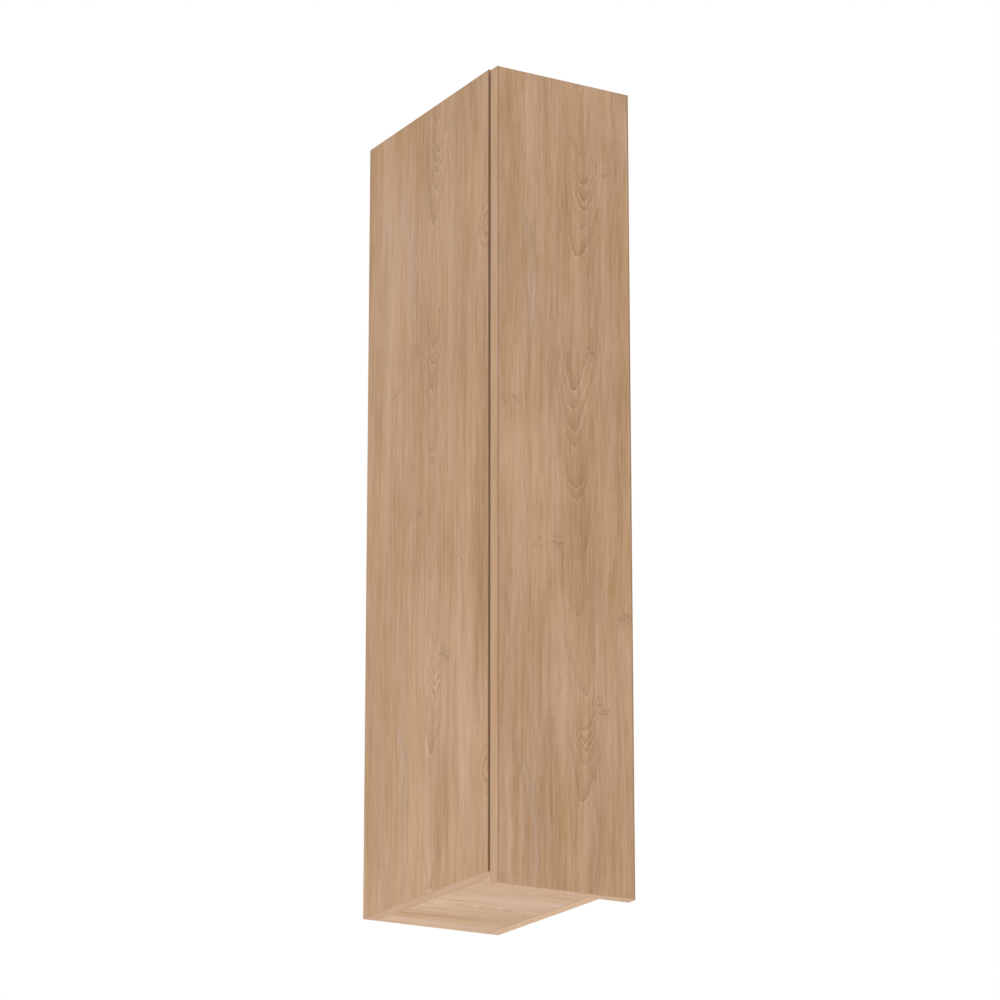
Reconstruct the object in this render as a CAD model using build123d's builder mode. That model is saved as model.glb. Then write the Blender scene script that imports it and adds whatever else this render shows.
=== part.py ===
"""Wall-hung tall cabinet with one full-overlay door, in millimetres.

X runs across the cabinet, Y from the room to the wall (the wall is the plane Y = 0)
and Z up. Z = 0 is the underside of the carcass; the door hangs below it.
"""
from build123d import *
import os

os.makedirs("parts", exist_ok=True)

# ---------------------------------------------------------------- driving dimensions
WIDTH = 200.0
DEPTH = 320.0
HEIGHT = 1056.0
BOARD = 18.0
BAND = 1.0                       # thickness of the glued edge bands
BAND_ROUND = 0.8                 # rounding of their long outer edges

DOOR_GAP = 2.5                   # between the carcass and the back of the door
DOOR_REVEAL = 1.5                # carcass showing at each side of the door
DOOR_TOP_DROP = 2.0
DOOR_OVERHANG = 18.0             # finger grip below the carcass

BACK_THICKNESS = 3.0
BACK_RECESS = 18.0               # room behind the back panel for the wall rail
GROOVE_DEPTH = 8.5
GROOVE_CLEARANCE = 0.1

PITCH = 32.0                     # system hole spacing
HOLE_RADIUS = 2.5
HOLE_DEPTH = 13.0
HOLE_SETBACK = 37.0              # first row of holes behind the front edge
ROW_SPACING = 7 * PITCH
LOWEST_HOLE = 3 * PITCH
HOLES_PER_ROW = 28
FIT = 0.05                       # radial clearance between a pin and its hole

SHELF_SIDE_GAP = 1.0
SHELF_FRONT_SETBACK = 20.0
SHELF_BACK_GAP = 2.0
SHELF_HOLES = {"lower": 6, "middle": 15, "upper": 23}
HINGE_HEIGHTS = {"lower": 3.5 * PITCH, "middle": 16.5 * PITCH, "upper": 29.5 * PITCH}
SIDES = {"left": -1, "right": 1}

# ---------------------------------------------------------------- derived places
HALF_WIDTH = WIDTH / 2
HALF_INSIDE = HALF_WIDTH - BOARD
INSIDE_WIDTH = 2 * HALF_INSIDE
CORE_DEPTH = DEPTH - BAND
BACK_REAR = -BACK_RECESS
BACK_FRONT = BACK_REAR - BACK_THICKNESS
FRONT_ROW = -DEPTH + HOLE_SETBACK
REAR_ROW = FRONT_ROW + ROW_SPACING
ROW_CENTRE = (FRONT_ROW + REAR_ROW) / 2
COLUMN_CENTRE = LOWEST_HOLE + (HOLES_PER_ROW - 1) * PITCH / 2
DOOR_BACK = -DEPTH - DOOR_GAP
DOOR_HALF = HALF_WIDTH - DOOR_REVEAL
DOOR_BOTTOM = -DOOR_OVERHANG
DOOR_TOP = HEIGHT - DOOR_TOP_DROP
DOOR_HEIGHT = DOOR_TOP - DOOR_BOTTOM
DOOR_MIDDLE = (DOOR_TOP + DOOR_BOTTOM) / 2
LOW_END, HIGH_END = BOARD / 2, HEIGHT - BOARD / 2

# Corner joints: cam lock, cam bolt and dowel at each end of the top and bottom panels
CAM_RADIUS = 7.5
CAM_DEPTH = 12.5
CAM_FROM_END = 24.0
CAM_ROWS = (FRONT_ROW, REAR_ROW)
BOLT_RADIUS = 3.5
BOLT_THREAD = 11.0
DOWEL_RADIUS = 4.0
DOWEL_IN_SIDE = 12.0
DOWEL_IN_PANEL = 22.0
DOWEL_END_GAP = 2.0
DOWEL_ROWS = (FRONT_ROW + PITCH, REAR_ROW - PITCH)

# Hidden cabinet hangers in the upper corners
HANGER_WIDTH = 18.0
HANGER_LENGTH = 44.0
HANGER_CLEARANCE = 2.0
HANGER_BACK = BACK_FRONT - HANGER_CLEARANCE
HANGER_HEIGHT = 60.0
HANGER_TOP = HEIGHT - BOARD - HANGER_CLEARANCE
HANGER_WALL = 2.0
HANGER_CENTRE_Y = HANGER_BACK - HANGER_LENGTH / 2
HANGER_CENTRE_Z = HANGER_TOP - HANGER_HEIGHT / 2
LUG_RADIUS = 5.0
LUG_DEPTH = 12.0
LUG_LENGTH = 11.0
LUG_OFFSET = 11.0
HOOK_THICKNESS = 3.0
HOOK_CENTRE_X = HALF_INSIDE - HANGER_WIDTH / 2
HOOK_SLOT = 4.0
HOOK_SLOT_CLEARANCE = 0.5

# Wall rail
RAIL_END_GAP = 2.0
RAIL_LENGTH = INSIDE_WIDTH - 2 * RAIL_END_GAP
RAIL_SHEET = 2.0
RAIL_BOTTOM = 972.0
RAIL_STEP = 1010.0
RAIL_LIP_TOP = 1022.0
RAIL_STANDOFF = 6.0
RAIL_HOLE_SPACING = 3 * PITCH
RAIL_HOLE_RADIUS = 3.25
RAIL_HOLE_HEIGHT = 990.0

# Hinges, in a plan frame whose origin is the door's right edge in the carcass front plane
HINGE_ARM_PIN = (-28.5, -2.4)
HINGE_CUP_PIN = (-10.2, -10.3)
HINGE_PIN_RADIUS = 1.25
LINK_RISE = 5.9
LINK_THICKNESS = 1.6
LINK_EYE_RADIUS = 2.1
LINK_HALF_WIDTH = 5.0
RUNNING = 0.08
CUP_RADIUS = 17.5
CUP_CENTRE = -21.5
CUP_BORE_DEPTH = 12.6
CUP_DEPTH = 12.2
CUP_WALL = 0.9
FLANGE = 1.1
FLANGE_RADIUS = 18.3
WING_CENTRE = -31.0
WING_WIDTH = 12.0
WING_ROUND = 5.5
CUP_SCREW_SPACING = 48.0
CUP_SCREW_RADIUS = 1.75
CUP_SCREW_LENGTH = 11.0
CUP_SCREW_HOLE_DEPTH = 12.0
EAR_GAP = 0.2
EAR_THICKNESS = 1.2
ARM_NOSE_RADIUS = 3.4
ARM_WEB = 1.0
ARM_REAR = 72.0
ARM_NOSE_REAR = 4.0
ARM_PLATE_GAP = 0.1
PANEL_FACE = DOOR_REVEAL - BOARD    # inner face of the side panel in the hinge frame
PLATE_RISE = 3.3
PLATE_SEAT = PANEL_FACE - PLATE_RISE
EAR_OUTSIDE = LINK_HALF_WIDTH + EAR_GAP + EAR_THICKNESS
EAR_INSIDE = LINK_HALF_WIDTH + EAR_GAP
ARM_TOP = HINGE_ARM_PIN[0] - ARM_NOSE_RADIUS
ARM_SCREWS = (30.0, 58.0)
ARM_SCREW_RADIUS = 2.0
ARM_HOLE_RADIUS = 2.3
ARM_SLOT = 12.0


def hinge_plane(height):
    """Plan plane of one hinge: local X across the cabinet, local Y into it."""
    return Plane(origin=(DOOR_HALF, -DEPTH, height))


# ---------------------------------------------------------------- side panels
for side, sign in SIDES.items():
    inner_face = Plane(origin=(sign * HALF_INSIDE, 0, 0), x_dir=(0, 1, 0), z_dir=(-sign, 0, 0))
    flip = 1 if sign < 0 else -1
    with BuildPart() as side_panel:
        with BuildSketch(Plane.YZ.offset(sign * HALF_INSIDE)):
            with Locations((-CORE_DEPTH / 2, HEIGHT / 2)):
                Rectangle(CORE_DEPTH, HEIGHT - 2 * BAND)
        extrude(amount=sign * BOARD)
        # Groove for the back panel
        with Locations((sign * HALF_INSIDE, (BACK_FRONT + BACK_REAR) / 2, HEIGHT / 2)):
            Box(2 * GROOVE_DEPTH, BACK_THICKNESS + 2 * GROOVE_CLEARANCE, HEIGHT, mode=Mode.SUBTRACT)
        # Two rows of system holes
        with Locations(inner_face):
            with Locations((ROW_CENTRE, flip * COLUMN_CENTRE)):
                with GridLocations(ROW_SPACING, PITCH, 2, HOLES_PER_ROW):
                    Hole(HOLE_RADIUS, HOLE_DEPTH)
            for end in (LOW_END, HIGH_END):
                with Locations([(row, flip * end) for row in DOWEL_ROWS]):
                    Hole(DOWEL_RADIUS + FIT, DOWEL_IN_SIDE + FIT)
                with Locations([(row, flip * end) for row in CAM_ROWS]):
                    Hole(HOLE_RADIUS, BOLT_THREAD + FIT)
            with Locations((HANGER_CENTRE_Y, flip * HANGER_CENTRE_Z)):
                with GridLocations(2 * LUG_OFFSET, 0, 2, 1):
                    Hole(LUG_RADIUS, LUG_DEPTH)
    side_panel.part.label = f"{side}_side_panel"
    export_step(side_panel.part, f"parts/{side}_side_panel.step")

    with BuildPart() as side_bands:
        with Locations((sign * (HALF_WIDTH - BOARD / 2), -DEPTH + BAND / 2, HEIGHT / 2)):
            Box(BOARD, BAND, HEIGHT)
        front_edges = side_bands.edges().filter_by(Axis.Z).group_by(Axis.Y)[0]
        fillet(front_edges, BAND_ROUND)
        for end, outermost in ((BAND / 2, 0), (HEIGHT - BAND / 2, -1)):
            with Locations((sign * (HALF_WIDTH - BOARD / 2), -(CORE_DEPTH - FIT) / 2, end)):
                Box(BOARD, CORE_DEPTH - FIT, BAND)
            long_edges = side_bands.edges().filter_by(Axis.Y).filter_by(lambda edge: edge.length > BOARD)
            fillet(long_edges.group_by(Axis.Z)[outermost], BAND_ROUND)
    side_bands.part.label = f"{side}_side_edge_bands"
    export_step(side_bands.part, f"parts/{side}_side_edge_bands.step")

# ---------------------------------------------------------------- top and bottom panels
for level, middle, inward in (("bottom", LOW_END, 1), ("top", HIGH_END, -1)):
    with BuildPart() as cross_panel:
        with Locations((0, -CORE_DEPTH / 2, middle)):
            Box(INSIDE_WIDTH, CORE_DEPTH, BOARD)
        # Groove for the back panel
        with Locations((0, (BACK_FRONT + BACK_REAR) / 2, middle + inward * BOARD / 2)):
            Box(INSIDE_WIDTH, BACK_THICKNESS + 2 * GROOVE_CLEARANCE, 2 * GROOVE_DEPTH, mode=Mode.SUBTRACT)
        for sign in SIDES.values():
            end_face = Plane(origin=(sign * HALF_INSIDE, 0, middle), x_dir=(0, 1, 0), z_dir=(sign, 0, 0))
            with Locations(end_face):
                with Locations([(row, 0) for row in DOWEL_ROWS]):
                    Hole(DOWEL_RADIUS + FIT, DOWEL_IN_PANEL + FIT)
                with Locations([(row, 0) for row in CAM_ROWS]):
                    Hole(BOLT_RADIUS + FIT, CAM_FROM_END)
        # The cams are turned from above in both panels
        with Locations(Plane.XY.offset(middle + BOARD / 2)):
            with Locations((0, ROW_CENTRE)):
                with GridLocations(2 * (HALF_INSIDE - CAM_FROM_END), ROW_SPACING, 2, 2):
                    Hole(CAM_RADIUS, CAM_DEPTH)
    cross_panel.part.label = f"{level}_panel"
    export_step(cross_panel.part, f"parts/{level}_panel.step")

    with BuildPart() as cross_band:
        with Locations((0, -DEPTH + BAND / 2, middle)):
            Box(INSIDE_WIDTH, BAND, BOARD)
        fillet(cross_band.edges().filter_by(Axis.X).group_by(Axis.Y)[0], BAND_ROUND)
    cross_band.part.label = f"{level}_panel_front_band"
    export_step(cross_band.part, f"parts/{level}_panel_front_band.step")

# ---------------------------------------------------------------- corner fasteners
BOLT_COLLAR = CAM_FROM_END - CAM_RADIUS - 1.0
BOLT_NECK = 4.5
BOLT_NECK_RADIUS = 2.0
BOLT_HEAD = 2.5
BOLT_HEAD_RADIUS = 3.0
BOLT_END = CAM_FROM_END - 2.0
CAM_SINK = 0.3
CAM_HEIGHT = CAM_DEPTH - 0.5
CAM_CROSS = 8.0
CAM_CROSS_WIDTH = 1.4
CAM_RECESS = 1.5
CAM_GRIP_RADIUS = BOLT_RADIUS + 0.3
CAM_GRIP_START = -1.0
CAM_GRIP_LENGTH = CAM_RADIUS + 2.0

with BuildPart() as dowels:
    for middle in (LOW_END, HIGH_END):
        for sign in SIDES.values():
            start = Plane(origin=(sign * (HALF_INSIDE + DOWEL_IN_SIDE - FIT), 0, middle),
                          x_dir=(0, 1, 0), z_dir=(-sign, 0, 0))
            with BuildSketch(start):
                with Locations([(row, 0) for row in DOWEL_ROWS]):
                    Circle(DOWEL_RADIUS)
            extrude(amount=DOWEL_IN_SIDE + DOWEL_IN_PANEL - DOWEL_END_GAP)
dowels.part.label = "dowels"
export_step(dowels.part, "parts/dowels.step")

with BuildPart() as cam_bolts:
    for middle in (LOW_END, HIGH_END):
        for sign in SIDES.values():
            joint = Plane(origin=(sign * HALF_INSIDE, 0, middle), x_dir=(0, 1, 0), z_dir=(-sign, 0, 0))
            for radius, start, length in (
                (HOLE_RADIUS - FIT, -BOLT_THREAD, BOLT_THREAD),
                (BOLT_RADIUS, 0, BOLT_COLLAR),
                (BOLT_NECK_RADIUS, BOLT_COLLAR, BOLT_NECK),
                (BOLT_HEAD_RADIUS, BOLT_END - BOLT_HEAD, BOLT_HEAD),
            ):
                with BuildSketch(joint.offset(start)):
                    with Locations([(row, 0) for row in CAM_ROWS]):
                        Circle(radius)
                extrude(amount=length)
cam_bolts.part.label = "cam_bolts"
export_step(cam_bolts.part, "parts/cam_bolts.step")

with BuildPart() as cam_locks:
    for middle in (LOW_END, HIGH_END):
        mouth = Plane.XY.offset(middle + BOARD / 2 - CAM_SINK)
        with BuildSketch(mouth):
            with Locations((0, ROW_CENTRE)):
                with GridLocations(2 * (HALF_INSIDE - CAM_FROM_END), ROW_SPACING, 2, 2):
                    Circle(CAM_RADIUS - FIT)
        extrude(amount=-CAM_HEIGHT)
        # Cross recess for the screwdriver
        with BuildSketch(mouth):
            with Locations((0, ROW_CENTRE)):
                with GridLocations(2 * (HALF_INSIDE - CAM_FROM_END), ROW_SPACING, 2, 2):
                    Rectangle(CAM_CROSS, CAM_CROSS_WIDTH)
                    Rectangle(CAM_CROSS_WIDTH, CAM_CROSS)
        extrude(amount=-CAM_RECESS, mode=Mode.SUBTRACT)
        # Hollow that grips the head of the cam bolt
        for sign in SIDES.values():
            grip = Plane(origin=(sign * (HALF_INSIDE - CAM_FROM_END), 0, middle),
                         x_dir=(0, 1, 0), z_dir=(sign, 0, 0))
            with BuildSketch(grip.offset(CAM_GRIP_START)):
                with Locations([(row, 0) for row in CAM_ROWS]):
                    Circle(CAM_GRIP_RADIUS)
            extrude(amount=CAM_GRIP_LENGTH, mode=Mode.SUBTRACT)
cam_locks.part.label = "cam_locks"
export_step(cam_locks.part, "parts/cam_locks.step")

CAP_RADIUS = 8.5
CAP_THICKNESS = 0.8
with BuildPart() as cam_cover_caps:
    with BuildSketch(Plane.XY.offset(BOARD)):
        with Locations((0, ROW_CENTRE)):
            with GridLocations(2 * (HALF_INSIDE - CAM_FROM_END), ROW_SPACING, 2, 2):
                Circle(CAP_RADIUS)
    extrude(amount=CAP_THICKNESS)
    fillet(cam_cover_caps.faces().group_by(Axis.Z)[-1].edges(), CAP_THICKNESS / 2)
cam_cover_caps.part.label = "cam_cover_caps"
export_step(cam_cover_caps.part, "parts/cam_cover_caps.step")

# ---------------------------------------------------------------- back panel
BACK_IN_GROOVE = 8.0
CUT_OUT_WIDTH = 12.0
CUT_OUT_ROUND = 2.0
CUT_OUT_LOW, CUT_OUT_HIGH = 1010.0, 1036.0
with BuildPart() as back_panel:
    with BuildSketch(Plane.XZ.offset(-BACK_REAR)):
        with Locations((0, HEIGHT / 2)):
            Rectangle(INSIDE_WIDTH + 2 * BACK_IN_GROOVE, HEIGHT - 2 * BOARD + 2 * BACK_IN_GROOVE)
        with Locations((0, (CUT_OUT_LOW + CUT_OUT_HIGH) / 2)):
            with GridLocations(2 * HOOK_CENTRE_X, 0, 2, 1):
                RectangleRounded(CUT_OUT_WIDTH, CUT_OUT_HIGH - CUT_OUT_LOW, CUT_OUT_ROUND, mode=Mode.SUBTRACT)
    extrude(amount=BACK_THICKNESS)
back_panel.part.label = "back_panel"
export_step(back_panel.part, "parts/back_panel.step")

# ---------------------------------------------------------------- shelves and their pins
SHELF_WIDTH = INSIDE_WIDTH - 2 * SHELF_SIDE_GAP
SHELF_FRONT = -DEPTH + SHELF_FRONT_SETBACK
SHELF_REAR = BACK_FRONT - SHELF_BACK_GAP
SHELF_CORE_DEPTH = SHELF_REAR - SHELF_FRONT - BAND
for level, hole in SHELF_HOLES.items():
    seat = LOWEST_HOLE + hole * PITCH + HOLE_RADIUS
    with BuildPart() as shelf:
        with Locations((0, SHELF_REAR - SHELF_CORE_DEPTH / 2, seat + BOARD / 2)):
            Box(SHELF_WIDTH, SHELF_CORE_DEPTH, BOARD)
    shelf.part.label = f"{level}_shelf"
    export_step(shelf.part, f"parts/{level}_shelf.step")

    with BuildPart() as shelf_band:
        with Locations((0, SHELF_FRONT + BAND / 2, seat + BOARD / 2)):
            Box(SHELF_WIDTH, BAND, BOARD)
        fillet(shelf_band.edges().filter_by(Axis.X).group_by(Axis.Y)[0], BAND_ROUND)
    shelf_band.part.label = f"{level}_shelf_front_band"
    export_step(shelf_band.part, f"parts/{level}_shelf_front_band.step")

PIN_LENGTH = 9.0
PIN_PLATE = 1.5
PIN_PLATE_DROP = 9.0
PIN_TONGUE = 11.0
PIN_WIDTH = 9.0
PIN_TONGUE_THICKNESS = 2.0
with BuildPart() as shelf_pins:
    for hole in SHELF_HOLES.values():
        height = LOWEST_HOLE + hole * PITCH
        for sign in SIDES.values():
            for row in (FRONT_ROW, REAR_ROW):
                # Bracket: a tongue under the shelf and a plate against the side panel
                with BuildSketch(Plane.XZ.offset(-row)):
                    with BuildLine():
                        Polyline(
                            (sign * HALF_INSIDE, height + HOLE_RADIUS),
                            (sign * (HALF_INSIDE - PIN_TONGUE), height + HOLE_RADIUS),
                            (sign * (HALF_INSIDE - PIN_TONGUE), height + HOLE_RADIUS - PIN_TONGUE_THICKNESS),
                            (sign * (HALF_INSIDE - PIN_PLATE), height - PIN_PLATE_DROP / 2),
                            (sign * (HALF_INSIDE - PIN_PLATE), height - PIN_PLATE_DROP),
                            (sign * HALF_INSIDE, height - PIN_PLATE_DROP),
                            close=True,
                        )
                    make_face()
                extrude(amount=PIN_WIDTH / 2, both=True)
                # Pin in the panel
                with BuildSketch(Plane.YZ.offset(sign * HALF_INSIDE)):
                    with Locations((row, height)):
                        Circle(HOLE_RADIUS - FIT)
                extrude(amount=sign * PIN_LENGTH)
shelf_pins.part.label = "shelf_pins"
export_step(shelf_pins.part, "parts/shelf_pins.step")

# ---------------------------------------------------------------- cabinet hangers
HOOK_SETBACK = 22.0
HOOK_LEG_FRONT = HANGER_BACK - HOOK_SETBACK
HOOK_LEG = 10.0
HOOK_LEG_BOTTOM = 990.0
HOOK_TOP = RAIL_LIP_TOP + 11.0
TONGUE_REAR = -RAIL_SHEET
TONGUE_FRONT = -RAIL_STANDOFF + 1.0
TONGUE_BOTTOM = RAIL_STEP + 1.5
ADJUSTER_RADIUS = 3.2
ADJUSTER_CLEARANCE = 0.1
ADJUSTER_CROSS = 4.4
ADJUSTER_CROSS_WIDTH = 1.0
ADJUSTER_HEIGHTS = (HOOK_LEG_BOTTOM + 8.0, HOOK_TOP - 6.0)
ADJUSTER_LENGTH = HANGER_LENGTH - HOOK_SETBACK
COVER_THICKNESS = 1.5
COVER_CHAMFER = 0.6
HANGER_FRONT = HANGER_BACK - HANGER_LENGTH

for side, sign in SIDES.items():
    with BuildPart() as hanger_housing:
        with BuildSketch(Plane.YZ.offset(sign * HALF_INSIDE)):
            with Locations((HANGER_CENTRE_Y, HANGER_CENTRE_Z)):
                RectangleRounded(HANGER_LENGTH, HANGER_HEIGHT, HANGER_WALL)
        extrude(amount=-sign * HANGER_WIDTH)
        # Pocket, open towards the middle of the cabinet
        with BuildSketch(Plane.YZ.offset(sign * (HALF_INSIDE - HANGER_WIDTH))):
            with Locations((HANGER_CENTRE_Y, HANGER_CENTRE_Z)):
                Rectangle(HANGER_LENGTH - 2 * HANGER_WALL, HANGER_HEIGHT - 2 * HANGER_WALL)
        extrude(amount=sign * (HANGER_WIDTH - HANGER_WALL), mode=Mode.SUBTRACT)
        # Slot for the hook in the rear wall
        with Locations((sign * HOOK_CENTRE_X, HANGER_BACK, (RAIL_LIP_TOP + HOOK_TOP) / 2)):
            Box(HOOK_SLOT, 2 * (HANGER_WALL + HOOK_SLOT_CLEARANCE),
                HOOK_TOP - RAIL_LIP_TOP + 2 * HOOK_SLOT_CLEARANCE, mode=Mode.SUBTRACT)
        # Holes for the two adjusting screws in the front wall
        with BuildSketch(Plane.XZ.offset(-HANGER_FRONT)):
            with Locations([(sign * HOOK_CENTRE_X, height) for height in ADJUSTER_HEIGHTS]):
                Circle(ADJUSTER_RADIUS + ADJUSTER_CLEARANCE)
        extrude(amount=-HANGER_WALL, mode=Mode.SUBTRACT)
        # Lugs that press into the side panel
        with BuildSketch(Plane.YZ.offset(sign * HALF_INSIDE)):
            with Locations((HANGER_CENTRE_Y, HANGER_CENTRE_Z)):
                with GridLocations(2 * LUG_OFFSET, 0, 2, 1):
                    Circle(LUG_RADIUS - FIT)
        extrude(amount=sign * LUG_LENGTH)
    hanger_housing.part.label = f"{side}_hanger_housing"
    export_step(hanger_housing.part, f"parts/{side}_hanger_housing.step")

    with BuildPart() as hanger_hook:
        with BuildSketch(Plane.YZ.offset(sign * HOOK_CENTRE_X)):
            with BuildLine():
                Polyline(
                    (HOOK_LEG_FRONT, HOOK_LEG_BOTTOM),
                    (HOOK_LEG_FRONT, HOOK_TOP),
                    (TONGUE_REAR, HOOK_TOP),
                    (TONGUE_REAR, TONGUE_BOTTOM),
                    (TONGUE_FRONT, TONGUE_BOTTOM),
                    (TONGUE_FRONT, RAIL_LIP_TOP),
                    (HOOK_LEG_FRONT + HOOK_LEG, RAIL_LIP_TOP),
                    (HOOK_LEG_FRONT + HOOK_LEG, HOOK_LEG_BOTTOM),
                    close=True,
                )
            make_face()
        extrude(amount=HOOK_THICKNESS / 2, both=True)
    hanger_hook.part.label = f"{side}_hanger_hook"
    export_step(hanger_hook.part, f"parts/{side}_hanger_hook.step")

    with BuildPart() as hanger_screws:
        with BuildSketch(Plane.XZ.offset(-HANGER_FRONT)):
            with Locations([(sign * HOOK_CENTRE_X, height) for height in ADJUSTER_HEIGHTS]):
                Circle(ADJUSTER_RADIUS)
        extrude(amount=-ADJUSTER_LENGTH)
        with BuildSketch(Plane.XZ.offset(-HANGER_FRONT)):
            with Locations([(sign * HOOK_CENTRE_X, height) for height in ADJUSTER_HEIGHTS]):
                Rectangle(ADJUSTER_CROSS, ADJUSTER_CROSS_WIDTH)
                Rectangle(ADJUSTER_CROSS_WIDTH, ADJUSTER_CROSS)
        extrude(amount=-CAM_RECESS, mode=Mode.SUBTRACT)
    hanger_screws.part.label = f"{side}_hanger_screws"
    export_step(hanger_screws.part, f"parts/{side}_hanger_screws.step")

    with BuildPart() as hanger_cover:
        with BuildSketch(Plane.YZ.offset(sign * (HALF_INSIDE - HANGER_WIDTH))):
            with Locations((HANGER_CENTRE_Y, HANGER_CENTRE_Z)):
                RectangleRounded(HANGER_LENGTH, HANGER_HEIGHT, HANGER_WALL)
        extrude(amount=-sign * COVER_THICKNESS)
        chamfer(hanger_cover.faces().sort_by(Axis.X)[0 if sign > 0 else -1].edges(), COVER_CHAMFER)
    hanger_cover.part.label = f"{side}_hanger_cover"
    export_step(hanger_cover.part, f"parts/{side}_hanger_cover.step")

# ---------------------------------------------------------------- wall rail
with BuildPart() as wall_rail:
    with BuildSketch(Plane.YZ):
        with BuildLine():
            Polyline(
                (0, RAIL_BOTTOM),
                (0, RAIL_STEP),
                (-RAIL_STANDOFF, RAIL_STEP),
                (-RAIL_STANDOFF, RAIL_LIP_TOP),
                (-RAIL_STANDOFF - RAIL_SHEET, RAIL_LIP_TOP),
                (-RAIL_STANDOFF - RAIL_SHEET, RAIL_STEP - RAIL_SHEET),
                (-RAIL_SHEET, RAIL_STEP - RAIL_SHEET),
                (-RAIL_SHEET, RAIL_BOTTOM),
                close=True,
            )
        make_face()
    extrude(amount=RAIL_LENGTH / 2, both=True)
    with Locations(Plane(origin=(0, -RAIL_SHEET, RAIL_HOLE_HEIGHT), x_dir=(1, 0, 0), z_dir=(0, -1, 0))):
        with GridLocations(RAIL_HOLE_SPACING, 0, 2, 1):
            Hole(RAIL_HOLE_RADIUS, RAIL_SHEET)
wall_rail.part.label = "wall_rail"
export_step(wall_rail.part, "parts/wall_rail.step")

# ---------------------------------------------------------------- door
with BuildPart() as door_panel:
    with Locations((0, DOOR_BACK - BOARD / 2, DOOR_MIDDLE)):
        Box(2 * (DOOR_HALF - BAND), BOARD, DOOR_HEIGHT - 2 * BAND)
    back_face = Plane(origin=(DOOR_HALF, DOOR_BACK, 0), x_dir=(-1, 0, 0), z_dir=(0, 1, 0))
    with Locations(back_face):
        with Locations([(-CUP_CENTRE, height) for height in HINGE_HEIGHTS.values()]):
            Hole(CUP_RADIUS, CUP_BORE_DEPTH)
        for height in HINGE_HEIGHTS.values():
            with Locations((-WING_CENTRE, height)):
                with GridLocations(0, CUP_SCREW_SPACING, 1, 2):
                    Hole(CUP_SCREW_RADIUS, CUP_SCREW_HOLE_DEPTH)
door_panel.part.label = "door_panel"
export_step(door_panel.part, "parts/door_panel.step")

with BuildPart() as door_bands:
    for sign in SIDES.values():
        with Locations((sign * (DOOR_HALF - BAND / 2), DOOR_BACK - BOARD / 2, DOOR_MIDDLE)):
            Box(BAND, BOARD, DOOR_HEIGHT)
    upright = door_bands.edges().filter_by(Axis.Z).group_by(Axis.X)
    fillet(upright[0] + upright[-1], BAND_ROUND)
    for end in (DOOR_BOTTOM + BAND / 2, DOOR_TOP - BAND / 2):
        with Locations((0, DOOR_BACK - BOARD / 2, end)):
            Box(2 * (DOOR_HALF - BAND - FIT), BOARD, BAND)
    long_edges = door_bands.edges().filter_by(Axis.X).filter_by(lambda edge: edge.length > BOARD)
    fillet(long_edges.group_by(Axis.Z)[0] + long_edges.group_by(Axis.Z)[-1], BAND_ROUND)
door_bands.part.label = "door_edge_bands"
export_step(door_bands.part, "parts/door_edge_bands.step")

BUMPER_RADIUS = 4.0
BUMPER_HEIGHT = 2.2
BUMPER_ROUND = 0.7
BUMPER_FROM_END = 30.0
with BuildPart() as door_bumpers:
    with BuildSketch(Plane.XZ.offset(-DOOR_BACK)):
        with Locations((-HALF_WIDTH + BOARD / 2, HEIGHT / 2)):
            with GridLocations(0, HEIGHT - 2 * BUMPER_FROM_END, 1, 2):
                Circle(BUMPER_RADIUS)
    extrude(amount=-BUMPER_HEIGHT)
    fillet(door_bumpers.faces().group_by(Axis.Y)[-1].edges(), BUMPER_ROUND)
door_bumpers.part.label = "door_bumpers"
export_step(door_bumpers.part, "parts/door_bumpers.step")

# ---------------------------------------------------------------- hinges
PLATE_BASE = 2.0
PLATE_SCREW_AT = HOLE_SETBACK
PLATE_HALF_HEIGHT = 25.0
PLATE_WING_WIDTH = 14.0
PLATE_FRONT, PLATE_REAR = 14.0, 68.0
PLATE_HALF_BODY = 9.0
PLATE_ROUND = 3.0
PLATE_WING_ROUND = 5.0
RIB_FRONT, RIB_REAR = 18.0, 66.0
RIB_HEIGHT = 7.0
RIB_TOP = PLATE_SEAT - RIB_HEIGHT
RIB_HALF_WIDTH = EAR_INSIDE - EAR_GAP
PLATE_SCREW_HEAD = 4.2
PLATE_SCREW_RADIUS = 2.7

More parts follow.
